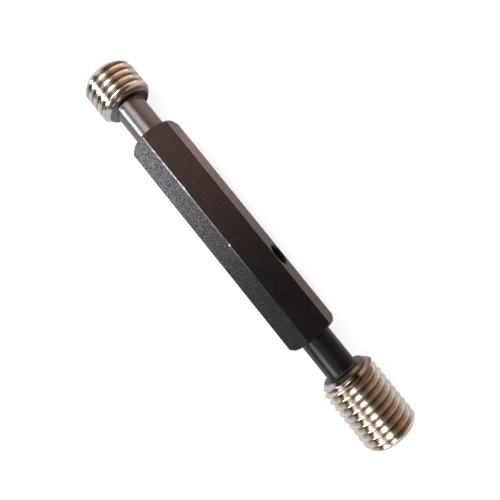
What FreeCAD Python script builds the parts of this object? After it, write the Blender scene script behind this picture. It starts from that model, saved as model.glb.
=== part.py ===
# Double-ended thread plug gauge for a metric M16 x 2 internal thread.
# A hexagonal handle with a taper socket in each end carries two gauge members:
#   go_member    long thread head, full thread form, points to +X
#   nogo_member  short thread head, truncated thread form, points to -X
# Each member is one turned and ground piece: thread head, plain neck, taper-lock shank.
# The gauge lies along X on the plane Z = 0. The origin is under the middle of its length.
# All sizes are in millimetres.
import FreeCAD, Part
import math
import os
from FreeCAD import Vector

# ---- thread, M16 x 2 ----------------------------------------------------------------------
PITCH = 2.0
FLANK_ANGLE = math.radians(30)          # each flank leans 30 degrees off the radial plane
GO_MAJOR_D = 16.04                      # full form
GO_PITCH_D = 14.72
NOGO_MAJOR_D = 15.30                    # crests cut back, the truncated form
NOGO_PITCH_D = 14.92
GO_CREST_AT_TOP = 42.99                 # X of a crest on the topmost line of the GO head
NOGO_CREST_AT_TOP = -58.88              # X of a crest on the topmost line of the NO-GO head

# ---- lengths along the gauge --------------------------------------------------------------
NOGO_HEAD_L = 10.5
NOGO_NECK_L = 11.0                      # neck seen between the NO-GO head and the handle
HANDLE_L = 69.0
GO_NECK_L = 12.0                        # neck seen between the handle and the GO head
GO_HEAD_L = 21.0

# ---- thread heads -------------------------------------------------------------------------
GO_BACK_R = 6.1                         # flat back face, inside its 45 degree chamfer
NOGO_BACK_R = 6.3
GO_FRONT_R = 6.6                        # flat front face, inside its 45 degree chamfer
NOGO_FRONT_R = 6.3
NECK_D = 8.9
NECK_FLARE = 0.4                        # 45 degree flare where the neck meets the back of the head
CENTRE_HOLE_D = 2.5                     # centre drilling in the front face of each head
CENTRE_CONE_D = 5.0
CENTRE_HOLE_L = 4.5
CENTRE_HALF_ANGLE = math.radians(30)    # of the centre drill's 60 degree countersink

# ---- taper lock ---------------------------------------------------------------------------
TAPER = 1 / 50                          # on the diameter, along the length
TAPER_STANDOFF = 1.0                    # the shank's large end stands this far outside the handle
SHANK_END_CHAMFER = 0.4
PILOT_D = 3.2                           # bore that joins the two sockets, for a push rod
SOCKET_RUN_OUT = 1.0                    # the reamed taper runs this far past the shank's end
MOUTH_CHAMFER = 0.4

# ---- handle -------------------------------------------------------------------------------
HANDLE_AF = 13.25                       # across the flats
CORNER_R = 0.3                          # rounding along the six long edges
END_CIRCLE_R = 6.6                      # flat end face, inside its 45 degree corner chamfer
DRIFT_HOLE_D = 6.0
DRIFT_HOLE_FROM_END = 22.5              # from the handle's GO end to the hole's centre
DRIFT_HOLE_CHAMFER = 0.3
DRIFT_BITE = 0.2                        # the shank's end stands this far into the drift hole
DRIFT_FLAT_ANGLE = math.radians(60)     # the hole's flat, turned from the top flat towards +Y

# ---- stations along X, and the height of the axis -------------------------------------------
TOTAL_L = NOGO_HEAD_L + NOGO_NECK_L + HANDLE_L + GO_NECK_L + GO_HEAD_L
NOGO_TIP_X = -TOTAL_L / 2
NOGO_BACK_X = NOGO_TIP_X + NOGO_HEAD_L
HANDLE_NOGO_X = NOGO_BACK_X + NOGO_NECK_L
HANDLE_GO_X = HANDLE_NOGO_X + HANDLE_L
GO_BACK_X = HANDLE_GO_X + GO_NECK_L
GO_TIP_X = GO_BACK_X + GO_HEAD_L
DRIFT_X = HANDLE_GO_X - DRIFT_HOLE_FROM_END
SHANK_L = HANDLE_GO_X - (DRIFT_X + DRIFT_HOLE_D / 2 - DRIFT_BITE)
AXIS_Z = GO_MAJOR_D / 2                 # the GO head's crests carry the gauge

OVERRUN = 1.0                           # tools and blanks run this far past what they cut
SPARE_TURNS = 2                         # turns of thread surface beyond each end of a head

AXIS = Vector(1, 0, 0)
ORIGIN = Vector(0, 0, 0)


def taper_r(depth):
    """Radius of the taper at a depth inside the handle's end face."""
    return (NECK_D - (depth + TAPER_STANDOFF) * TAPER) / 2


def revolved(profile):
    """Solid of revolution about X from a closed profile of (x, r) points."""
    points = [Vector(x, 0, r) for x, r in profile]
    return Part.Face(Part.makePolygon(points + points[:1])).revolve(ORIGIN, AXIS, 360)


def mirrored_x(shape):
    """The shape reflected in the plane X = 0."""
    return shape.mirror(ORIGIN, AXIS)


def member_envelope(back_x, head_l, back_r, front_r, clear_r, handle_x):
    """The member without its thread, head towards +X. The head's waist bulges to clear_r so that
    only its chamfers and end faces meet the thread's surface."""
    neck_r = NECK_D / 2
    hole_r = CENTRE_HOLE_D / 2
    cone_r = CENTRE_CONE_D / 2
    tip_x = back_x + head_l
    shank_end = handle_x - SHANK_L
    hole_floor = tip_x - CENTRE_HOLE_L
    return revolved([
        (back_x - NECK_FLARE, neck_r),
        (back_x, neck_r + NECK_FLARE),
        (back_x, back_r),
        (back_x + clear_r - back_r, clear_r),
        (tip_x - clear_r + front_r, clear_r),
        (tip_x, front_r),
        (tip_x, cone_r),
        (tip_x - (cone_r - hole_r) / math.tan(CENTRE_HALF_ANGLE), hole_r),
        (hole_floor, hole_r),
        (hole_floor, 0),
        (shank_end, 0),
        (shank_end, taper_r(SHANK_L) - SHANK_END_CHAMFER),
        (shank_end + SHANK_END_CHAMFER, taper_r(SHANK_L - SHANK_END_CHAMFER)),
        (handle_x + TAPER_STANDOFF, neck_r),
    ])


def thread_surface(first_x, turns, major_r, pitch_r):
    """Right-hand thread surface about X: a crest strip and two flanks that meet in a sharp root,
    swept one turn at a time. first_x is where the first turn's crest crosses the topmost line."""
    crest_half = PITCH / 4 - (major_r - pitch_r) * math.tan(FLANK_ANGLE)
    root_r = major_r - (PITCH / 2 - crest_half) / math.tan(FLANK_ANGLE)
    section = [(-PITCH / 2, root_r), (-crest_half, major_r), (crest_half, major_r), (PITCH / 2, root_r)]
    profile = Part.makePolygon([Vector(r, 0, x) for x, r in section])
    spine = Part.makeHelix(PITCH, PITCH, pitch_r)
    turn = Part.Wire(spine.Edges).makePipeShell([profile], False, True)
    # The helix climbs +Z and starts on +X. This turn lays it along +X, starting on +Z.
    turn.rotate(ORIGIN, Vector(0, 1, 0), 90)
    turn.rotate(ORIGIN, AXIS, 180)
    faces = []
    for number in range(turns):
        step = turn.copy()
        step.translate(Vector(first_x + number * PITCH, 0, 0))
        faces += step.Faces
    return Part.makeShell(faces)


def threaded_member(envelope, crest_x, low_x, head_l, major_r, pitch_r):
    """The envelope cut down to the thread: the part of it that lies inside the thread's surface.
    The head runs from low_x to low_x + head_l, and one crest crosses the topmost line at crest_x."""
    turns_before = math.ceil((crest_x - low_x) / PITCH) + SPARE_TURNS
    turns = math.ceil(head_l / PITCH) + 2 * SPARE_TURNS
    first_x = crest_x - turns_before * PITCH
    surface = thread_surface(first_x, turns, major_r, pitch_r)
    pieces = envelope.generalFuse([surface])[0].Solids
    return max(pieces, key=lambda piece: piece.Volume)


def make_go_member():
    """GO member: long head with the full thread form."""
    clear_r = GO_MAJOR_D / 2 + OVERRUN
    envelope = member_envelope(GO_BACK_X, GO_HEAD_L, GO_BACK_R, GO_FRONT_R, clear_r, HANDLE_GO_X)
    return threaded_member(envelope, GO_CREST_AT_TOP, GO_BACK_X, GO_HEAD_L, GO_MAJOR_D / 2, GO_PITCH_D / 2)


def make_nogo_member():
    """NO-GO member: short head with the truncated thread form."""
    clear_r = NOGO_MAJOR_D / 2 + OVERRUN
    envelope = mirrored_x(
        member_envelope(-NOGO_BACK_X, NOGO_HEAD_L, NOGO_BACK_R, NOGO_FRONT_R, clear_r, -HANDLE_NOGO_X)
    )
    return threaded_member(
        envelope, NOGO_CREST_AT_TOP, NOGO_TIP_X, NOGO_HEAD_L, NOGO_MAJOR_D / 2, NOGO_PITCH_D / 2
    )


def socket(handle_x):
    """Reamed taper socket with a chamfered mouth, opening towards +X at handle_x."""
    depth = SHANK_L + SOCKET_RUN_OUT
    mouth_r = taper_r(0)
    return revolved([
        (handle_x + OVERRUN, 0),
        (handle_x + OVERRUN, mouth_r + MOUTH_CHAMFER + OVERRUN),
        (handle_x - MOUTH_CHAMFER, taper_r(MOUTH_CHAMFER)),
        (handle_x - depth, taper_r(depth)),
        (handle_x - depth, 0),
    ])


def make_handle():
    """Hexagonal handle with a flat on top, chamfered ends, two taper sockets joined by the pilot
    bore, and the drift hole across it."""
    corner_r = HANDLE_AF / math.sqrt(3)
    corners = []
    for number in range(6):
        angle = math.radians(60 * number + 30)
        corners.append(Vector(HANDLE_NOGO_X, corner_r * math.sin(angle), corner_r * math.cos(angle)))
    bar = Part.Face(Part.makePolygon(corners + corners[:1])).extrude(Vector(HANDLE_L, 0, 0))
    long_edges = [edge for edge in bar.Edges if abs(edge.Length - HANDLE_L) < 1e-6]
    bar = bar.makeFillet(CORNER_R, long_edges)
    over = corner_r + OVERRUN - END_CIRCLE_R
    bar = bar.common(revolved([
        (HANDLE_NOGO_X, 0),
        (HANDLE_NOGO_X, END_CIRCLE_R),
        (HANDLE_NOGO_X + over, END_CIRCLE_R + over),
        (HANDLE_GO_X - over, END_CIRCLE_R + over),
        (HANDLE_GO_X, END_CIRCLE_R),
        (HANDLE_GO_X, 0),
    ]))
    pilot = Part.makeCylinder(PILOT_D / 2, HANDLE_L, Vector(HANDLE_NOGO_X, 0, 0), AXIS)
    across = Vector(0, math.sin(DRIFT_FLAT_ANGLE), math.cos(DRIFT_FLAT_ANGLE))
    centre = Vector(DRIFT_X, 0, 0)
    hole_r = DRIFT_HOLE_D / 2
    tools = [socket(HANDLE_GO_X), mirrored_x(socket(-HANDLE_NOGO_X)), pilot]
    tools.append(Part.makeCylinder(hole_r, 2 * HANDLE_AF, centre - across * HANDLE_AF, across))
    flare = DRIFT_HOLE_CHAMFER + OVERRUN
    for side in (across, across * -1):
        deep = centre + side * (HANDLE_AF / 2 - DRIFT_HOLE_CHAMFER)
        tools.append(Part.makeCone(hole_r, hole_r + flare, flare, deep, side))
    return bar.cut(tools)


def main():
    """Build each piece, lift it to the height of the gauge's axis and write it out."""
    os.makedirs("parts", exist_ok=True)
    pieces = {"handle": make_handle(), "go_member": make_go_member(), "nogo_member": make_nogo_member()}
    for name, shape in pieces.items():
        solid = shape.Solids[0]
        solid.translate(Vector(0, 0, AXIS_Z))
        solid.exportStep("parts/" + name + ".step")
        print(name, "valid", solid.isValid(), "volume", round(solid.Volume, 1), "mm3")
    return pieces


if __name__ == "__main__":
    main()
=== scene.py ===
import logging
import math
from dataclasses import dataclass
from enum import Enum

import bmesh
import bpy
import numpy as np
from mathutils import Matrix, Vector


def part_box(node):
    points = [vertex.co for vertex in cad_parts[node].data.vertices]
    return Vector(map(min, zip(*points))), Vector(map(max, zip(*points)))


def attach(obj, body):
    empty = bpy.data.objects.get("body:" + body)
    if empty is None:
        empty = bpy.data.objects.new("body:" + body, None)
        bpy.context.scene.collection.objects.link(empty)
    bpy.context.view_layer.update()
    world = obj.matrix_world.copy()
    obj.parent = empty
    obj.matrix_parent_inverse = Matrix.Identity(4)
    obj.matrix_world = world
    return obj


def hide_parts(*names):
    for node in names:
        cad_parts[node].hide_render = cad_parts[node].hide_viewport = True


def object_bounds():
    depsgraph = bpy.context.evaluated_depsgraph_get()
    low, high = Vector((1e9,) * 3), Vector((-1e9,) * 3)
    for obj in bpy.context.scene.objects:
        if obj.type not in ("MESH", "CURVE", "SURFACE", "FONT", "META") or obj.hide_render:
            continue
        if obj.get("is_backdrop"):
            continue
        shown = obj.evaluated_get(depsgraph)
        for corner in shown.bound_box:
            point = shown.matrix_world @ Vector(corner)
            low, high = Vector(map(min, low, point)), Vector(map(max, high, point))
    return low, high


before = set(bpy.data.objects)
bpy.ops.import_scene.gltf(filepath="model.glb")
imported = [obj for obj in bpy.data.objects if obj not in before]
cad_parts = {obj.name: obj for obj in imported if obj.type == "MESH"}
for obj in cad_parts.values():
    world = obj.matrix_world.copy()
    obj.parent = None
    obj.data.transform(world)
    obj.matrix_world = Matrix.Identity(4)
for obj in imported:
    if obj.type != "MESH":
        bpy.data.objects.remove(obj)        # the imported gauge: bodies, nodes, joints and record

log = logging.getLogger("plug_gauge")

Colour = tuple[float, float, float]
Place = tuple[float, float, float]

MM = 0.001
CAD_LOW, CAD_HIGH = (tuple(corner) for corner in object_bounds())
AXIS_HEIGHT = (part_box("handle")[0].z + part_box("handle")[1].z) / 2
BODY = "root"

# ---- sizes ---------------------------------------------------------------------------------

# Rows across the thread's profile.
CORNER_ROWS = np.array([-1.6, -0.7, -0.2, 0.25, 0.8, 1.8])     # from a crest's corner, in crest rounds
ROOT_ROWS = np.array([0.4, 0.8, 1.4])                          # from the root, in root rounds
FLANK_ROWS = 5                                                 # between them, both ends counted
TURNS_BEFORE = 1                                               # laid out past the low end face
TURNS_AFTER = 2                                                # laid out past the high end face
CREST_EASE = 0.8                                               # of the crest round, in the soft minimum


class End(Enum):
    """Which way a member's head points along X."""

    GO = 1
    NOGO = -1


@dataclass(frozen=True)
class ThreadForm:
    """The 60 degree thread of one head, in millimetres."""

    major_r: float
    pitch_r: float
    crest_at_top: float
    pitch: float = 2.0
    crest_round: float = 0.02
    root_round: float = 0.16
    flank: float = math.radians(30)

    def crest_half(self) -> float:
        """Half the width of the crest flat."""
        return self.pitch / 4 - (self.major_r - self.pitch_r) * math.tan(self.flank)

    def root_r(self) -> float:
        """Radius of the sharp root, where two flanks would meet."""
        return self.major_r - (self.pitch / 2 - self.crest_half()) / math.tan(self.flank)

    def rows(self) -> np.ndarray:
        """Places across one pitch, from root to root, close together at each corner.

        Returns:
            Offsets from the crest's middle line, from -pitch / 2 up to but not including pitch / 2.
        """
        half = self.pitch / 2
        corner = self.crest_half()
        near = CORNER_ROWS * self.crest_round
        root = ROOT_ROWS * self.root_round
        flank = np.linspace(corner + near[-1], half - root[-1], FLANK_ROWS)[1:-1]
        side = np.concatenate([corner + near, flank, half - root[::-1]])
        return np.concatenate([[-half], -side[::-1], [0.0], side])

    def radius(self, offset: np.ndarray) -> np.ndarray:
        """Radius of the thread's surface at an offset from the crest's middle line.

        The sharp form is the lower of the crest radius and the straight flank. Each corner is
        eased by a soft minimum, m - sqrt(d^2 + e^2) / 2 with m the mean of the two surfaces, d
        their difference and e the ease, and the root by the same rule turned over.

        Args:
            offset: Axial offsets in millimetres.

        Returns:
            The radii in millimetres.
        """
        away = np.abs((offset + self.pitch / 2) % self.pitch - self.pitch / 2)
        slope = 1 / math.tan(self.flank)
        flank = self.major_r - (away - self.crest_half()) * slope
        other = self.major_r - (self.pitch - away - self.crest_half()) * slope
        root = (flank + other) / 2 + np.sqrt((flank - other) ** 2 + self.root_round**2) / 2
        ease = self.crest_round * CREST_EASE
        return (self.major_r + root) / 2 - np.sqrt((self.major_r - root) ** 2 + ease**2) / 2


@dataclass(frozen=True)
class MemberSizes:
    """Sizes of one gauge member, in millimetres. The taper is on the radius."""

    end: End
    thread: ThreadForm
    back_x: float
    tip_x: float
    back_r: float
    front_r: float
    handle_x: float
    neck_r: float = 4.45
    flare: float = 0.4
    shank_l: float = 19.7
    standoff: float = 1.0
    taper: float = 0.01
    shank_chamfer: float = 0.4
    shank_ring_r: float = 2.0
    cone_r: float = 2.5
    hole_r: float = 1.25
    cone_l: float = 2.165
    hole_l: float = 4.5

    def taper_r(self, depth: float) -> float:
        """Radius of the shank at a depth behind the handle's end face."""
        return self.neck_r - (depth + self.standoff) * self.taper


# ---- node graphs ---------------------------------------------------------------------------

Socket = bpy.types.NodeSocket
Source = Socket | float | tuple


@dataclass(frozen=True)
class Ramp:
    """A smooth step: the level start up to low, and the level end from high on.

    Low may lie above high, and the step then falls the other way.
    """

    low: float
    high: float
    start: float = 0.0
    end: float = 1.0

    def moved(self, by: float) -> "Ramp":
        """The same step, moved by a distance."""
        return Ramp(self.low + by, self.high + by, self.start, self.end)


class Effect(Enum):
    """The shared effects, by the names of their node groups."""

    GRAIN = "satin_grain"
    SPECKS = "specks"
    LINES = "turned_lines"


class Graph:
    """The node tree of a material, a world or a group, with short ways to add its nodes."""

    def __init__(self, tree: bpy.types.NodeTree) -> None:
        """Keep the tree to add to."""
        self.tree = tree

    def add(self, kind: str, **settings: object) -> bpy.types.Node:
        """Add a node.

        Args:
            kind: The node's type, without its ShaderNode prefix.
            **settings: Attributes of the node.

        Returns:
            The node.
        """
        node = self.tree.nodes.new("ShaderNode" + kind)
        for key, value in settings.items():
            setattr(node, key, value)
        return node

    def feed(self, socket: Socket, source: Source) -> None:
        """Link a socket to another, or give it a plain value.

        Args:
            socket: The input.
            source: An output socket, a number or a tuple.
        """
        if isinstance(source, Socket):
            self.tree.links.new(source, socket)
        elif isinstance(source, tuple) and len(source) == 3 and socket.type == "RGBA":
            socket.default_value = (*source, 1.0)
        else:
            socket.default_value = source

    def effect(self, group: bpy.types.NodeTree, **inputs: Source) -> bpy.types.NodeOutputs:
        """Add a shared effect.

        Args:
            group: The effect's node group.
            **inputs: What each of its inputs takes.

        Returns:
            The outputs of the group's node.
        """
        node = self.add("Group", node_tree=group)
        for key, source in inputs.items():
            self.feed(node.inputs[key], source)
        return node.outputs

    def split(self, vector: Source) -> tuple[Socket, Socket, Socket]:
        """Take a vector apart.

        Args:
            vector: The vector.

        Returns:
            Its x, y and z.
        """
        node = self.add("SeparateXYZ")
        self.feed(node.inputs[0], vector)
        return tuple(node.outputs)

    def math(self, operation: str, *sources: Source) -> Socket:
        """One Math node.

        Args:
            operation: The operation's name.
            *sources: Its inputs in order.

        Returns:
            The result.
        """
        node = self.add("Math", operation=operation)
        for socket, source in zip(node.inputs, sources):
            self.feed(socket, source)
        return node.outputs[0]

    def times(self, first: Source, second: Source) -> Socket:
        """Product of two numbers."""
        return self.math("MULTIPLY", first, second)

    def scaled(self, value: Source, scale: Source, shift: Source) -> Socket:
        """A number scaled and shifted: value * scale + shift."""
        return self.math("MULTIPLY_ADD", value, scale, shift)

    def ramp(self, value: Source, ramp: Ramp, unit: float = 1.0) -> Socket:
        """Smooth step of a number.

        Args:
            value: The number.
            ramp: Where the step lies, and its levels.
            unit: What a 1 in the ramp's low and high stands for.

        Returns:
            The level.
        """
        node = self.add("MapRange", interpolation_type="SMOOTHSTEP")
        sources = (value, ramp.low * unit, ramp.high * unit, ramp.start, ramp.end)
        for socket, source in zip(node.inputs, sources):
            self.feed(socket, source)
        return node.outputs[0]

    def lerp(self, share: Source, first: Source, second: Source) -> Socket:
        """Blend two numbers.

        Args:
            share: 0 gives the first number, 1 the second.
            first: A number.
            second: A number.

        Returns:
            The blend.
        """
        node = self.add("Mix", data_type="FLOAT")
        for index, source in ((0, share), (2, first), (3, second)):
            self.feed(node.inputs[index], source)
        return node.outputs[0]

    def mix(self, share: Source, first: Source, second: Source) -> Socket:
        """Blend two colours.

        Args:
            share: 0 gives the first colour, 1 the second.
            first: A colour.
            second: A colour.

        Returns:
            The blend.
        """
        node = self.add("Mix", data_type="RGBA")
        for index, source in ((0, share), (6, first), (7, second)):
            self.feed(node.inputs[index], source)
        return node.outputs[2]

    def noise(self, vector: Source, scale: Source, detail: float = 2.0, rough: float = 0.5) -> Socket:
        """Noise between 0 and 1.

        Args:
            vector: Where to read it.
            scale: Waves in a metre.
            detail: Octaves added.
            rough: Strength of each octave against the one before.

        Returns:
            The noise value.
        """
        node = self.add("TexNoise")
        settings = {"Vector": vector, "Scale": scale, "Detail": detail, "Roughness": rough}
        for key, source in settings.items():
            self.feed(node.inputs[key], source)
        return node.outputs["Fac"]

    def bump(self, height: Source, distance: float) -> Socket:
        """Normal bent by a height.

        Args:
            height: The height, 0 to 1.
            distance: Metres that a height of 1 stands proud.

        Returns:
            The normal.
        """
        node = self.add("Bump")
        for key, source in {"Strength": 1.0, "Distance": distance, "Height": height}.items():
            self.feed(node.inputs[key], source)
        return node.outputs["Normal"]

    def axis_radius(self, y: Source, z: Source) -> Socket:
        """Distance from the gauge's axis in metres, sqrt(y^2 + (z - axis)^2)."""
        height = self.math("SUBTRACT", z, AXIS_HEIGHT)
        return self.math("SQRT", self.scaled(y, y, self.times(height, height)))

    def direct(self, path: bpy.types.Node) -> Socket:
        """1 for a ray straight from the camera or through something clear, by a Light Path node."""
        return self.math("MAXIMUM", path.outputs["Is Camera Ray"], path.outputs["Is Transmission Ray"])


def new_material(name: str) -> tuple[bpy.types.Material, Graph, bpy.types.Node]:
    """Start a material with one Principled shader.

    Args:
        name: The material's name.

    Returns:
        The material, its graph and its shader.
    """
    material = bpy.data.materials.new(name)
    material.use_nodes = True
    material.node_tree.nodes.clear()
    g = Graph(material.node_tree)
    shader = g.add("BsdfPrincipled")
    g.feed(g.add("OutputMaterial").inputs["Surface"], shader.outputs[0])
    return material, g, shader


# ---- shared effects ------------------------------------------------------------------------

Groups = dict[Effect, bpy.types.NodeTree]

MOTTLE_SCALE = 0.16                         # the mottle's waves against the grain's
GRAIN_SHARE = 0.75                          # of the height; the mottle has the rest
MOTTLE = Ramp(0.3, 0.7)
GLINTS = Ramp(0.42, 0.64)
SPECK_CELLS = 650.0                         # in a metre
SPECK_SIZE = Ramp(0.10, 0.04)               # in cells
SPECK_PATCHES = Ramp(0.56, 0.66)
PATCH_SCALE = 140.0                         # waves in a metre


def new_group(
    effect: Effect, takes: dict[str, str], gives: dict[str, str]
) -> tuple[bpy.types.NodeTree, Graph, dict[str, Socket], dict[str, Socket]]:
    """Start a shader node group.

    Args:
        effect: The effect that it holds.
        takes: Input names and their socket kinds.
        gives: Output names and their socket kinds.

    Returns:
        The group, its graph, its input sockets by name, and its output sockets by name.
    """
    tree = bpy.data.node_groups.new(effect.value, "ShaderNodeTree")
    for key, kind in takes.items():
        tree.interface.new_socket(key, in_out="INPUT", socket_type="NodeSocket" + kind)
    for key, kind in gives.items():
        tree.interface.new_socket(key, in_out="OUTPUT", socket_type="NodeSocket" + kind)
    source = tree.nodes.new("NodeGroupInput").outputs
    sink = tree.nodes.new("NodeGroupOutput").inputs
    return tree, Graph(tree), {key: source[key] for key in takes}, {key: sink[key] for key in gives}


def satin_grain_group() -> bpy.types.NodeTree:
    """Fine even grain of a blasted and blackened surface, with a slower mottle under it.

    Returns:
        A group that takes Position and Grain, waves in a metre, and gives Height, Mottle
        and Glints, the tips of the grain.
    """
    takes = {"Position": "Vector", "Grain": "Float"}
    gives = {"Height": "Float", "Mottle": "Float", "Glints": "Float"}
    tree, g, takes, gives = new_group(Effect.GRAIN, takes, gives)
    fine = g.noise(takes["Position"], takes["Grain"], detail=3.0, rough=0.65)
    mottle = g.noise(takes["Position"], g.times(takes["Grain"], MOTTLE_SCALE), detail=4.0, rough=0.6)
    g.feed(gives["Height"], g.scaled(fine, GRAIN_SHARE, g.times(mottle, 1.0 - GRAIN_SHARE)))
    g.feed(gives["Mottle"], g.ramp(mottle, MOTTLE))
    g.feed(gives["Glints"], g.ramp(fine, GLINTS))
    return tree


def specks_group() -> bpy.types.NodeTree:
    """Tiny bright specks from handling, in patches.

    Returns:
        A group that takes Position and gives Specks, 0 on untouched surface.
    """
    tree, g, takes, gives = new_group(Effect.SPECKS, {"Position": "Vector"}, {"Specks": "Float"})
    cells = g.add("TexVoronoi", feature="F1")
    g.feed(cells.inputs["Vector"], takes["Position"])
    g.feed(cells.inputs["Scale"], SPECK_CELLS)
    near = g.ramp(cells.outputs["Distance"], SPECK_SIZE)
    some = g.ramp(g.noise(takes["Position"], PATCH_SCALE, detail=1.0), SPECK_PATCHES)
    g.feed(gives["Specks"], g.times(near, some))
    return tree


def turned_lines_group() -> bpy.types.NodeTree:
    """Fine lines that run round the axis, as turning and grinding leave them.

    Returns:
        A group that takes Position and Pitch, lines in a metre, and gives Height.
    """
    takes = {"Position": "Vector", "Pitch": "Float"}
    tree, g, takes, gives = new_group(Effect.LINES, takes, {"Height": "Float"})
    x, y, z = g.split(takes["Position"])
    turn = g.math("ARCTAN2", y, g.math("SUBTRACT", z, AXIS_HEIGHT))
    ring = g.add("CombineXYZ")
    g.feed(ring.inputs[0], g.times(x, takes["Pitch"]))
    g.feed(ring.inputs[1], g.times(g.axis_radius(y, z), takes["Pitch"]))
    g.feed(ring.inputs[2], g.math("COSINE", turn))
    g.feed(gives["Height"], g.noise(ring.outputs[0], 1.0, detail=3.0, rough=0.7))
    return tree


# ---- finishes ------------------------------------------------------------------------------


@dataclass(frozen=True)
class BlackOxide:
    """Blackened satin steel of the handle, rubbed bright along the upper near ridge, with painted
    reflections.

    Colours are linear. Ramps named along run over x, and those named off or about over a
    distance, in millimetres. Waves count in a metre.
    """

    black: Colour = (0.0016, 0.0014, 0.0017)
    dusty: Colour = (0.0046, 0.0040, 0.0044)
    painted_brown_reflection: Colour = (0.104, 0.060, 0.050)
    painted_grey_sheen: Colour = (0.200, 0.190, 0.212)
    bare: Colour = (0.80, 0.79, 0.79)
    ior: float = 1.22
    coat_ior: float = 2.2
    coat_roughness: float = 0.3
    grain: float = 2700.0
    grain_height: float = 0.42
    roughness: float = 0.26
    grain_roughness: float = 0.16
    rubbed_roughness: float = -0.12
    specks: float = 0.35
    # the rubbed ridge: its line from the axis, the wear along it, and nicks by place and half length
    ridge_y: float = -3.74
    ridge_z: float = 6.48
    rub_off: Ramp = Ramp(0.26, 0.10)
    rub_along: tuple[Ramp, ...] = (Ramp(-27.0, -12.0, 1.0, 0.24), Ramp(-12.0, 14.0, 1.0, 0.1))
    rub_waves: float = 420.0
    rub_ragged: Ramp = Ramp(0.36, 0.58, 0.35, 1.0)
    nicks: tuple[tuple[float, float], ...] = ((-22.5, 0.6), (-3.4, 0.4))
    nick_off: Ramp = Ramp(0.40, 0.16)
    nick_level: float = 0.85
    # the painted reflection along the length: brown above the ridge, and a grey sheen speckled by the grain
    # below it
    painted_reflection_along: Ramp = Ramp(-47.0, 16.0, 0.59, 0.03)
    above_off: Ramp = Ramp(0.0, 0.4)
    speckle: float = 1.5
    speckle_least: float = 0.42
    # the upper far flat, painted with the brown reflection: the angle that it faces, from the top, and its
    # distance from the axis
    far_angle: float = math.radians(60)
    far_off: Ramp = Ramp(6.565, 6.615)
    far_along: Ramp = Ramp(-20.0, 26.0, 0.33, 0.90)
    # glinting grain, weak on the top flat
    glint_along: Ramp = Ramp(-42.0, 30.0, 1.0, 0.10)
    glint_about: Ramp = Ramp(3.7, 4.0, 0.16, 1.0)

    def rubbed(self, g: Graph, place: Socket, x: Socket, gap: Socket) -> Socket:
        """How far the black is rubbed off.

        Args:
            g: The material's graph.
            place: The place.
            x: The place's x.
            gap: Distance from the ridge line.

        Returns:
            0 on sound black, 1 on bare steel.
        """
        ragged = g.ramp(g.noise(place, self.rub_waves, detail=4.0, rough=0.7), self.rub_ragged)
        first, second = (g.ramp(x, along, MM) for along in self.rub_along)
        reach = g.times(first, second)
        rubbed = g.times(g.ramp(gap, self.rub_off, MM), g.times(reach, ragged))
        across = g.ramp(gap, self.nick_off, MM)
        for nick_x, half in self.nicks:
            off = g.math("ABSOLUTE", g.math("SUBTRACT", x, nick_x * MM))
            nick = g.ramp(off, Ramp(half, half / 2, 0.0, self.nick_level), MM)
            rubbed = g.math("MAXIMUM", rubbed, g.times(nick, across))
        return rubbed

    def painted_reflection(self, g: Graph, x: Socket, facing: Socket, above: Socket, glints: Socket) -> Socket:
        """How far the black gives way to the painted reflection.

        Args:
            g: The material's graph.
            x: The place's x.
            facing: Distance from the axis in the direction that the upper far flat faces.
            above: 0 below the ridge, 1 above it.
            glints: The tips of the grain.

        Returns:
            0 on full black, 1 on the painted reflection's colour.
        """
        # painted brown reflection on the upper far flat
        far = g.times(g.ramp(facing, self.far_off, MM), g.ramp(x, self.far_along, MM))
        speckle = g.lerp(above, g.scaled(glints, self.speckle, self.speckle_least), 1.0)
        return g.math("MAXIMUM", g.times(g.ramp(x, self.painted_reflection_along, MM), speckle), far)

    def material(self, groups: Groups) -> bpy.types.Material:
        """Build the finish.

        Args:
            groups: The shared effects.

        Returns:
            The material.
        """
        material, g, shader = new_material("black_oxide_satin")
        place = g.add("TexCoord").outputs["Object"]
        x, y, z = g.split(place)
        grain = g.effect(groups[Effect.GRAIN], Position=place, Grain=self.grain)
        specks = g.effect(groups[Effect.SPECKS], Position=place)["Specks"]
        off_y = g.math("SUBTRACT", y, self.ridge_y * MM)
        off_z = g.math("SUBTRACT", z, AXIS_HEIGHT + self.ridge_z * MM)
        gap = g.math("SQRT", g.scaled(off_y, off_y, g.times(off_z, off_z)))
        rubbed = self.rubbed(g, place, x, gap)
        rise = g.times(g.math("SUBTRACT", z, AXIS_HEIGHT), math.cos(self.far_angle))
        facing = g.scaled(y, math.sin(self.far_angle), rise)
        above = g.ramp(off_y, self.above_off, MM)
        # painted reflection: brown on the upper flats, a grey sheen on the near flat, speckled by the grain
        painted_reflection = self.painted_reflection(g, x, facing, above, grain["Glints"])
        colour = g.mix(grain["Mottle"], self.black, self.dusty)
        colour = g.mix(painted_reflection, colour, g.mix(above, self.painted_grey_sheen, self.painted_brown_reflection))
        colour = g.mix(g.times(specks, self.specks), colour, self.bare)
        g.feed(shader.inputs["Base Color"], g.mix(rubbed, colour, self.bare))
        g.feed(shader.inputs["Metallic"], rubbed)
        about = g.ramp(g.math("ABSOLUTE", y), self.glint_about, MM)
        glint = g.times(g.ramp(x, self.glint_along, MM), about)
        g.feed(shader.inputs["Coat Weight"], g.times(grain["Glints"], glint))
        rough = g.scaled(grain["Height"], self.grain_roughness, self.roughness)
        g.feed(shader.inputs["Roughness"], g.scaled(rubbed, self.rubbed_roughness, rough))
        g.feed(shader.inputs["Normal"], g.bump(grain["Height"], self.grain_height * MM))
        shader.inputs["IOR"].default_value = self.ior
        shader.inputs["Coat IOR"].default_value = self.coat_ior
        shader.inputs["Coat Roughness"].default_value = self.coat_roughness
        return material


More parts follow.
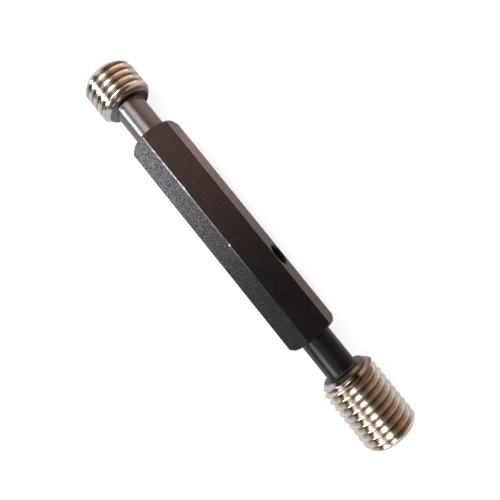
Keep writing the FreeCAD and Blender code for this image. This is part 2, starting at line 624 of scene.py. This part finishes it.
@dataclass(frozen=True)
class GaugeSteel:
    """Ground gauge steel of a member's head, and the blackened back face and neck behind it.

    Colours are linear. Ramps run over a distance in millimetres, apart from rub_lines, and
    those that say low or far run over y. Lines count in a metre.
    """

    # painted shade and warm reflection by depth in the thread
    crest: Colour
    flank: Colour
    groove: Colour
    root: Colour
    # painted shade on the chamfers, lighter on their near side as a painted reflection
    chamfer: Colour
    chamfer_low_reflection: Colour
    bared: float
    ior: float = 1.45
    roughness: float = 0.08
    neck_roughness: float = 0.165
    lines_roughness: float = 0.14
    neck_lines_roughness: float = 0.2
    lines: float = 9000.0
    lines_height: float = 0.004
    # ground steel starts ahead of the back face and takes in the thin edge of that face
    bared_edge: float = 0.06
    rim_inside: Ramp = Ramp(-0.22, -0.10, 0.0, 0.7)
    # colours by height in the thread, above the root and under the crest: painted shade and warm
    # reflection, darkest and brownest at the root
    groove_over_root: Ramp = Ramp(0.12, 0.4)
    flank_over_root: float = 0.4
    flank_under_crest: float = 0.2
    # what the turning left round the thread: crest flats, chamfers and the front face; the chamfers take
    # painted shade, and a painted reflection on their near side
    turned_depth: Ramp = Ramp(0.16, 0.05)
    crest_under_major: Ramp = Ramp(-0.15, -0.02)
    crest_from_front: Ramp = Ramp(2.0, 1.7)
    front_face: Ramp = Ramp(0.06, 0.02)
    chamfer_is_low: Ramp = Ramp(-4.2, -5.4)
    # painted shade round the first run-out, on the far side
    runout_shade: Colour = (0.20, 0.13, 0.095)
    runout_shade_level: float = 0.0
    runout_shade_far: Ramp = Ramp(-1.0, 0.5)
    runout_shade_from_back: Ramp = Ramp(3.1, 2.5)
    # the black, lighter low down as a painted reflection, and rubbed off the neck
    black: Colour = (0.0055, 0.005, 0.006)
    black_low_reflection: Colour = (0.0055, 0.005, 0.006)
    black_is_low: Ramp = Ramp(-2.0, -5.0)
    speck: Colour = (0.35, 0.34, 0.33)
    rubbed_black: Colour = (0.206, 0.188, 0.187)
    rubbed: float = 0.0
    rub_lines: Ramp = Ramp(0.25, 0.6, 0.8, 1.0)
    neck_skin: Ramp = Ramp(0.12, 0.02)

    def head_colour(
        self, s: MemberSizes, g: Graph, y: Socket, radius: Socket, ahead: Socket
    ) -> Socket:
        """Colour of the ground steel, with painted shade and painted reflection.

        Args:
            s: The member's sizes.
            g: The material's graph.
            y: The place's y.
            radius: Distance from the axis.
            ahead: Distance ahead of the head's back face.

        Returns:
            The colour.
        """
        major_r, root_r = s.thread.major_r, s.thread.root_r()
        behind = g.math("SUBTRACT", abs(s.tip_x - s.back_x) * MM, ahead)
        # how far the surface lies under the head's turned outline: major diameter and two chamfers
        back_cone = g.math("ADD", ahead, s.back_r * MM)
        front_cone = g.math("ADD", behind, s.front_r * MM)
        outline = g.math("MINIMUM", back_cone, front_cone)
        under = g.math("SUBTRACT", g.math("MINIMUM", outline, major_r * MM), radius)
        # painted shade and warm reflection by depth in the thread, darkest and brownest at the root
        colour = g.mix(g.ramp(radius, self.groove_over_root.moved(root_r), MM), self.root, self.groove)
        on_flank = Ramp(root_r + self.flank_over_root, major_r - self.flank_under_crest)
        colour = g.mix(g.ramp(radius, on_flank, MM), colour, self.flank)
        # painted shade on the chamfers, with a painted reflection on their near side
        chamfer = g.mix(g.ramp(y, self.chamfer_is_low, MM), self.chamfer, self.chamfer_low_reflection)
        turned = g.mix(g.ramp(outline, self.crest_under_major.moved(major_r), MM), chamfer, self.crest)
        turned = g.mix(g.ramp(behind, self.crest_from_front, MM), turned, self.crest)
        colour = g.mix(g.ramp(under, self.turned_depth, MM), colour, turned)
        colour = g.mix(g.ramp(behind, self.front_face, MM), colour, self.crest)
        # painted shade round the first run-out, on the far side
        runout_shade_level = g.times(g.ramp(y, self.runout_shade_far, MM), g.ramp(ahead, self.runout_shade_from_back, MM))
        return g.mix(g.times(runout_shade_level, self.runout_shade_level), colour, self.runout_shade)

    def material(self, s: MemberSizes, groups: Groups) -> bpy.types.Material:
        """Build the finish.

        Args:
            s: The member's sizes.
            groups: The shared effects.

        Returns:
            The material.
        """
        material, g, shader = new_material(f"gauge_steel_{s.end.name.lower()}")
        place = g.add("TexCoord").outputs["Object"]
        x, y, z = g.split(place)
        radius = g.axis_radius(y, z)
        lines = g.effect(groups[Effect.LINES], Position=place, Pitch=self.lines)["Height"]
        specks = g.effect(groups[Effect.SPECKS], Position=place)["Specks"]
        ahead = g.times(g.math("SUBTRACT", x, s.back_x * MM), float(s.end.value))
        bared = g.ramp(ahead, Ramp(self.bared, self.bared + self.bared_edge), MM)
        ground = g.math("MAXIMUM", bared, g.ramp(radius, self.rim_inside.moved(s.back_r), MM))
        worn = g.times(g.ramp(lines, self.rub_lines), self.rubbed)
        worn = g.times(g.ramp(radius, self.neck_skin.moved(s.neck_r), MM), worn)
        # painted reflection: the black back face and neck lighter low down
        black = g.mix(g.ramp(y, self.black_is_low, MM), self.black, self.black_low_reflection)
        black = g.mix(worn, black, self.rubbed_black)
        black = g.mix(specks, black, self.speck)
        head = self.head_colour(s, g, y, radius, ahead)
        g.feed(shader.inputs["Base Color"], g.mix(ground, black, head))
        g.feed(shader.inputs["Metallic"], g.math("MAXIMUM", ground, worn))
        rough = g.scaled(lines, self.lines_roughness, self.roughness)
        neck = g.scaled(lines, self.neck_lines_roughness, self.neck_roughness)
        g.feed(shader.inputs["Roughness"], g.lerp(ground, neck, rough))
        g.feed(shader.inputs["Normal"], g.bump(lines, self.lines_height * MM))
        shader.inputs["IOR"].default_value = self.ior
        return material


# ---- pieces --------------------------------------------------------------------------------

WELD = 1e-7              # metres; points closer than this become one
SLIVER = 1e-8            # metres; edges shorter than this are dissolved

# Rings beside a corner hold the smooth shading to it, in millimetres.
EDGE = 0.05              # from a corner to the ring beside it
EASED = 0.03             # how far that ring is drawn in, which rounds the corner
LIP = 0.02               # from a rounded corner to the ring on the side that isn't drawn in
BAND = 0.3               # from a corner to the next ring on a flat face
NECK_BAND = 0.5          # from the flare's foot to the next ring on the neck
RIM = 0.12               # the width of the thin edge of a head's back face


@dataclass(frozen=True)
class GaugeMember:
    """One turned and ground member: thread head, neck and taper shank in a single skin.

    It takes the place of the CAD node that is named here.
    """

    node: str
    sizes: MemberSizes
    steel: GaugeSteel
    columns: int = 192

    def turned_rings(self) -> np.ndarray:
        """Rings of the plain turned part, from the back of the head to the shank's end.

        The skin is this outline carried round the axis.

        Returns:
            One row for each ring: distance behind the head's back face, and radius.
        """
        s = self.sizes
        neck_l = abs(s.back_x - s.handle_x)
        shank_end = neck_l + s.shank_l
        flare_r = s.neck_r + s.flare
        return np.array([
            (0.0, s.back_r),
            (0.0, s.back_r - RIM),
            (0.0, flare_r + BAND),
            (0.0, flare_r + EDGE),
            (LIP, flare_r - EASED),
            (s.flare - EDGE, s.neck_r + EASED),
            (s.flare + EDGE, s.neck_r),
            (s.flare + NECK_BAND, s.neck_r),
            (neck_l / 2, s.neck_r),
            (neck_l - s.standoff, s.neck_r),
            (neck_l, s.taper_r(0.0)),
            (shank_end - s.shank_chamfer, s.taper_r(s.shank_l - s.shank_chamfer)),
            (shank_end, s.taper_r(s.shank_l) - s.shank_chamfer),
            (shank_end, s.shank_ring_r),
            (shank_end, 0.0),
        ])

    def front_rings(self) -> np.ndarray:
        """Rings of the front face and its centre hole, from the hole's floor to the face's edge.

        Returns:
            One row for each ring: distance behind the front face, and radius.
        """
        s = self.sizes
        return np.array([
            (s.hole_l, 0.0),
            (s.hole_l, s.hole_r),
            (s.cone_l + EDGE, s.hole_r),
            (s.cone_l - EDGE, s.hole_r + EASED),
            (EDGE, s.cone_r - EASED),
            (0.0, s.cone_r + LIP),
            (0.0, s.cone_r + BAND),
            (0.0, s.front_r - BAND),
            (0.0, s.front_r - EDGE),
            (0.0, s.front_r),
        ])

    def thread_grid(self) -> tuple[np.ndarray, np.ndarray]:
        """The threaded skin between the two end faces, as rows that climb with the helix.

        A row is one place across the thread, carried round the head while it falls back one
        pitch along X in a turn: x = row - pitch * turn. The radius is the lower of the thread's
        form and the two 45 degree end chamfers. Rows past an end face are held on it.

        Returns:
            x and radius in millimetres, each with one row per place and one column per angle.
        """
        s = self.sizes
        form = s.thread
        low, high = sorted((s.back_x, s.tip_x))
        low_r, high_r = (s.back_r, s.front_r) if s.end is End.GO else (s.front_r, s.back_r)
        turn = np.arange(self.columns + 1) / self.columns
        first = math.floor((low - form.crest_at_top) / form.pitch) - TURNS_BEFORE
        last = math.ceil((high - form.crest_at_top) / form.pitch) + TURNS_AFTER
        crests = form.crest_at_top + np.arange(first, last + 1) * form.pitch
        rows = (crests[:, None] + form.rows()[None, :]).ravel()
        lead = -form.pitch * turn
        x = rows[:, None] + lead[None, :]
        radius = form.radius(x - lead[None, :] - form.crest_at_top)
        held = np.clip(x, low, high)
        chamfer = np.minimum(low_r + held - low, high_r + high - held)
        return held, np.minimum(radius, chamfer)

    def mesh(self) -> bpy.types.Mesh:
        """Build the member's closed skin.

        Every ring and row has the same angles. Angle a points at (y, z) = (sin a, cos a) from
        the axis, so the angle grows from the top towards +Y, and a right-hand crest recedes
        along -X as it does.

        Returns:
            The mesh in metres, in place.
        """
        s = self.sizes
        angle = 2 * np.pi * np.arange(self.columns + 1) / self.columns
        grids = []
        for face_x, rings in ((s.back_x, self.turned_rings()), (s.tip_x, self.front_rings())):
            wide = np.repeat(rings[:, :, None], angle.size, 2)
            grids.append((face_x - s.end.value * wide[:, 0], wide[:, 1]))
        grids.append(self.thread_grid())
        points, quads = [], []
        count = 0
        for x, r in grids:
            place = np.stack([x, r * np.sin(angle), AXIS_HEIGHT / MM + r * np.cos(angle)], axis=-1)
            numbers = count + np.arange(x.size).reshape(x.shape)
            corner = numbers[:-1, :-1], numbers[:-1, 1:], numbers[1:, 1:], numbers[1:, :-1]
            quads.append(np.stack([c.ravel() for c in corner], axis=-1))
            points.append(place.reshape(-1, 3) * MM)
            count += x.size
        return mesh_from_arrays(f"{self.node}_skin", np.concatenate(points), np.concatenate(quads))

    def build(self, groups: Groups) -> bpy.types.Object:
        """Build the member's piece, dress it and hide its CAD node.

        Args:
            groups: The shared effects.

        Returns:
            The piece.
        """
        mesh = self.mesh()
        mesh.materials.append(self.steel.material(self.sizes, groups))
        piece = add_piece(mesh.name, mesh)
        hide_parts(self.node)
        return piece


@dataclass(frozen=True)
class Handle:
    """The hexagonal handle, which keeps its CAD mesh."""

    finish: BlackOxide

    def dress(self, groups: Groups) -> bpy.types.Object:
        """Give the handle its finish.

        Args:
            groups: The shared effects.

        Returns:
            The handle.
        """
        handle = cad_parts["handle"]
        handle.material_slots[0].material = self.finish.material(groups)
        return handle


def mesh_from_arrays(name: str, points: np.ndarray, quads: np.ndarray) -> bpy.types.Mesh:
    """Fill a mesh from whole arrays and weld the points that coincide.

    Args:
        name: The mesh's name.
        points: One row of x, y, z in metres for each point.
        quads: One row of four point numbers for each face.

    Returns:
        The welded mesh, smooth shaded, with its faces turned outwards.
    """
    mesh = bpy.data.meshes.new(name)
    mesh.from_pydata(points, [], quads.tolist())
    shape = bmesh.new()
    shape.from_mesh(mesh)
    bmesh.ops.remove_doubles(shape, verts=shape.verts, dist=WELD)
    bmesh.ops.dissolve_degenerate(shape, edges=shape.edges, dist=SLIVER)
    bmesh.ops.recalc_face_normals(shape, faces=shape.faces)
    shape.to_mesh(mesh)
    shape.free()
    mesh.shade_smooth()
    return mesh


def add_piece(name: str, mesh: bpy.types.Mesh) -> bpy.types.Object:
    """Link an object for the mesh at the origin and let it ride on the gauge.

    Args:
        name: The piece's name.
        mesh: Its mesh, already in place.

    Returns:
        The object.
    """
    piece = bpy.data.objects.new(name, mesh)
    bpy.context.scene.collection.objects.link(piece)
    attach(piece, BODY)
    return piece


# ---- studio --------------------------------------------------------------------------------

WHITE: Colour = (1.0, 1.0, 1.0)


@dataclass(frozen=True)
class PaleFloor:
    """The floor: white to the camera, and uneven where bare metal mirrors it.

    Ramps run over x, y or the distance from the middle, in metres.
    """

    size: float = 3.0
    roughness: float = 0.9
    pale: Colour = (0.62, 0.62, 0.62)
    white: Ramp = Ramp(0.25, 0.7, 0.68, 0.80)
    # in metal: a glow everywhere, dim far out on the near side
    glow: float = 0.22
    dim: Colour = (0.14, 0.125, 0.11)
    dim_y: Ramp = Ramp(-0.030, -0.047)
    # in metal: a warm strip close behind the gauge, strongest by the short head
    blush: Colour = (1.0, 0.5, 0.42)
    blush_y: Ramp = Ramp(0.0, 0.012)
    blush_least: float = 0.3
    close_y: Ramp = Ramp(0.060, 0.035)
    close_x: Ramp = Ramp(-0.060, 0.020, 1.1, 0.45)
    close_length: Ramp = Ramp(0.048, 0.038)
    close_glow: float = 0.66

    def material(self) -> bpy.types.Material:
        """Build the floor's finish.

        Returns:
            The material.
        """
        material, g, shader = new_material("pale_floor")
        path = g.add("LightPath")
        mirrored = path.outputs["Is Glossy Ray"]
        place = g.add("TexCoord").outputs["Object"]
        x, y, _ = g.split(place)
        away = g.add("VectorMath", operation="LENGTH")
        g.feed(away.inputs[0], place)
        dim = g.times(mirrored, g.ramp(y, self.dim_y))
        close = g.times(g.ramp(y, self.close_y), g.ramp(x, self.close_x))
        close = g.times(close, g.ramp(g.math("ABSOLUTE", x), self.close_length))
        blush = g.times(g.ramp(y, self.blush_y), mirrored)
        blush = g.times(blush, g.scaled(close, 1.0 - self.blush_least, self.blush_least))
        glow = g.scaled(g.times(blush, close), self.close_glow, self.glow)
        glow = g.times(glow, g.math("SUBTRACT", 1.0, dim))
        white = g.times(g.direct(path), g.ramp(away.outputs["Value"], self.white))
        g.feed(shader.inputs["Base Color"], g.mix(dim, self.pale, self.dim))
        g.feed(shader.inputs["Emission Color"], g.mix(blush, WHITE, self.blush))
        g.feed(shader.inputs["Emission Strength"], g.scaled(mirrored, glow, white))
        shader.inputs["Roughness"].default_value = self.roughness
        shader.inputs["Specular IOR Level"].default_value = 0.0
        return material

    def lay(self) -> None:
        """Lay the floor under the gauge."""
        half, z = self.size / 2, CAD_LOW[2]
        mesh = bpy.data.meshes.new("floor")
        corners = [(-half, -half, z), (half, -half, z), (half, half, z), (-half, half, z)]
        mesh.from_pydata(corners, [], [(0, 1, 2, 3)])
        mesh.materials.append(self.material())
        floor = bpy.data.objects.new("floor", mesh)
        bpy.context.scene.collection.objects.link(floor)
        floor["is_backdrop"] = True


@dataclass(frozen=True)
class PaleWorld:
    """The surroundings: white to the camera, softly uneven as light.

    Ramps run over x, y or z of the direction, which is 1 long.
    """

    side: float = 0.45
    # more light from the far side, towards the short head, and most close to its end
    far_y: Ramp = Ramp(-0.1, 0.4)
    far_x: Ramp = Ramp(0.1, -0.5)
    far_more: float = 0.46
    beyond_y: Ramp = Ramp(0.15, 0.45)
    beyond_x: Ramp = Ramp(-0.38, -0.50)
    beyond_more: float = 0.55
    # less light from overhead, least of all over the long head, but not beyond the short head
    overhead_z: Ramp = Ramp(0.52, 0.88)
    overhead_beyond: float = -0.8
    overhead_x: Ramp = Ramp(-0.50, 0.12, 0.42, 0.12)
    # in metal: warm on the far side, above the floor
    warm: Colour = (1.0, 0.66, 0.44)
    warm_y: Ramp = Ramp(-0.15, 0.2)
    warm_z: Ramp = Ramp(0.1, 0.35)

    def raise_up(self) -> None:
        """Make this the scene's world."""
        world = bpy.data.worlds.new("studio")
        bpy.context.scene.world = world
        world.use_nodes = True
        world.node_tree.nodes.clear()
        g = Graph(world.node_tree)
        back = g.add("Background")
        path = g.add("LightPath")
        direct = g.direct(path)
        x, y, z = g.split(g.add("TexCoord").outputs["Generated"])
        beyond = g.times(g.ramp(y, self.beyond_y), g.ramp(x, self.beyond_x))
        overhead = g.times(g.ramp(z, self.overhead_z), g.scaled(beyond, self.overhead_beyond, 1.0))
        side = g.times(g.ramp(y, self.far_y), g.ramp(x, self.far_x))
        side = g.scaled(side, self.far_more, self.side)
        side = g.scaled(beyond, self.beyond_more, side)
        strength = g.lerp(overhead, side, g.ramp(x, self.overhead_x))
        warm = g.times(g.ramp(y, self.warm_y), g.ramp(z, self.warm_z))
        warm = g.times(warm, path.outputs["Is Glossy Ray"])
        g.feed(back.inputs["Color"], g.mix(direct, g.mix(warm, WHITE, self.warm), WHITE))
        g.feed(back.inputs["Strength"], g.lerp(direct, strength, 1.0))
        g.feed(g.add("OutputWorld").inputs["Surface"], back.outputs[0])


@dataclass(frozen=True)
class Lamp:
    """A rectangular lamp that faces the middle of the gauge's axis.

    Its place counts from there, and its place and size are in millimetres, its power in watts.
    """

    name: str
    place: Place
    size: tuple[float, float]
    power: float
    colour: Colour = WHITE

    def hang(self) -> None:
        """Hang the lamp."""
        data = bpy.data.lights.new(self.name, "AREA")
        data.shape = "RECTANGLE"
        data.size, data.size_y = (length * MM for length in self.size)
        data.energy = self.power
        data.color = self.colour
        lamp = bpy.data.objects.new(self.name, data)
        bpy.context.scene.collection.objects.link(lamp)
        spot = Vector(self.place) * MM
        aim = spot.to_track_quat("Z", "Y").to_matrix().to_4x4()
        lamp.matrix_world = Matrix.Translation(spot + Vector((0, 0, AXIS_HEIGHT))) @ aim
        lamp.visible_camera = False


@dataclass(frozen=True)
class Camera:
    """The camera that looks down on the gauge.

    Its back axis is tilted towards +X and swung towards -Y from straight up. The picture is
    then rolled so that +X runs down to the right: across and along are the cosine and sine of
    that roll. Its place is in millimetres from the middle of the gauge's axis.
    """

    lens: float = 34.56
    sensor: float = 36.0
    tilt: float = math.radians(2.9855)
    swing: float = math.radians(12.19)
    across: float = 0.628
    along: float = 0.778
    place: Place = (7.21, -26.36, 126.84)
    clip: tuple[float, float] = (0.005, 10.0)

    def stand(self) -> None:
        """Put the camera in its place and make it the scene's."""
        ca, sa = math.cos(self.tilt), math.sin(self.tilt)
        cs, ss = math.cos(self.swing), math.sin(self.swing)
        axis = Vector((ca, sa * ss, -sa * cs))
        cross = Vector((0.0, cs, ss))
        back = Vector((sa, -ca * ss, ca * cs))
        right = axis * self.across + cross * self.along
        up = cross * self.across - axis * self.along
        turn = Matrix((right, up, back)).transposed().to_4x4()
        data = bpy.data.cameras.new("camera")
        data.lens = self.lens
        data.sensor_width = self.sensor
        data.clip_start, data.clip_end = self.clip
        camera = bpy.data.objects.new("camera", data)
        bpy.context.scene.collection.objects.link(camera)
        spot = Vector(self.place) * MM + Vector((0, 0, AXIS_HEIGHT))
        camera.matrix_world = Matrix.Translation(spot) @ turn
        bpy.context.scene.camera = camera


@dataclass(frozen=True)
class Studio:
    """Pale floor and surroundings, soft lamps and the camera."""

    floor: PaleFloor
    world: PaleWorld
    lamps: tuple[Lamp, ...]
    camera: Camera

    def set_up(self) -> None:
        """Set everything up round the gauge."""
        self.floor.lay()
        self.world.raise_up()
        for lamp in self.lamps:
            lamp.hang()
            log.info("lamp %s: %g W", lamp.name, lamp.power)
        self.camera.stand()
        bpy.context.scene.view_settings.view_transform = "Standard"


# ---- this gauge ----------------------------------------------------------------------------

GO_SIZES = MemberSizes(
    end=End.GO,
    thread=ThreadForm(major_r=8.018, pitch_r=7.36, crest_at_top=42.99),
    back_x=40.75, tip_x=61.75, back_r=6.1, front_r=6.6, handle_x=28.75,
)
NOGO_SIZES = MemberSizes(
    end=End.NOGO,
    thread=ThreadForm(major_r=7.65, pitch_r=7.46, crest_at_top=-58.88),
    back_x=-51.25, tip_x=-61.75, back_r=6.3, front_r=6.3, handle_x=-40.25,
)
GO_STEEL = GaugeSteel(
    crest=(0.62, 0.58, 0.54), flank=(0.82, 0.78, 0.72), groove=(0.66, 0.58, 0.49), root=(0.30, 0.22, 0.15),
    chamfer=(0.085, 0.070, 0.064), chamfer_low_reflection=(0.66, 0.64, 0.64), bared=0.28, runout_shade_level=0.75,
)
NOGO_STEEL = GaugeSteel(
    crest=(0.67, 0.64, 0.59), flank=(0.52, 0.47, 0.40), groove=(0.42, 0.37, 0.305), root=(0.25, 0.20, 0.15),
    chamfer=(0.21, 0.145, 0.105), chamfer_low_reflection=(0.60, 0.57, 0.55), bared=0.0,
    rubbed=1.0, black_low_reflection=(0.20, 0.19, 0.22), ior=1.2,
)
MEMBERS = (
    GaugeMember("go_member", GO_SIZES, GO_STEEL),
    GaugeMember("nogo_member", NOGO_SIZES, NOGO_STEEL),
)
HANDLE = Handle(BlackOxide())
# The key lamp hangs high on the near side, the side lamp high beyond the long head. The low
# lamp and the narrow window lamp stand near the floor on the near side, one by each head.
STUDIO = Studio(
    floor=PaleFloor(),
    world=PaleWorld(),
    lamps=(
        Lamp("key", (-95.0, -150.0, 298.0), (310.0, 200.0), 0.44),
        Lamp("side", (270.0, -150.0, 225.0), (100.0, 210.0), 0.25),
        Lamp("low", (150.0, -303.0, 100.0), (140.0, 145.0), 0.34),
        Lamp("window", (-140.0, -245.0, 66.0), (180.0, 50.0), 0.45, (0.98, 0.94, 1.0)),
    ),
    camera=Camera(),
)


def main() -> None:
    """Build and dress the gauge, then set up the studio."""
    logging.basicConfig(level=logging.INFO, format="%(message)s")
    builders = {
        Effect.GRAIN: satin_grain_group,
        Effect.SPECKS: specks_group,
        Effect.LINES: turned_lines_group,
    }
    groups = {effect: build() for effect, build in builders.items()}
    pieces = [member.build(groups) for member in MEMBERS]
    pieces.append(HANDLE.dress(groups))
    for piece in pieces:
        log.info("%s: %d faces", piece.name, len(piece.data.polygons))
    STUDIO.set_up()


if __name__ == "__main__":
    main()
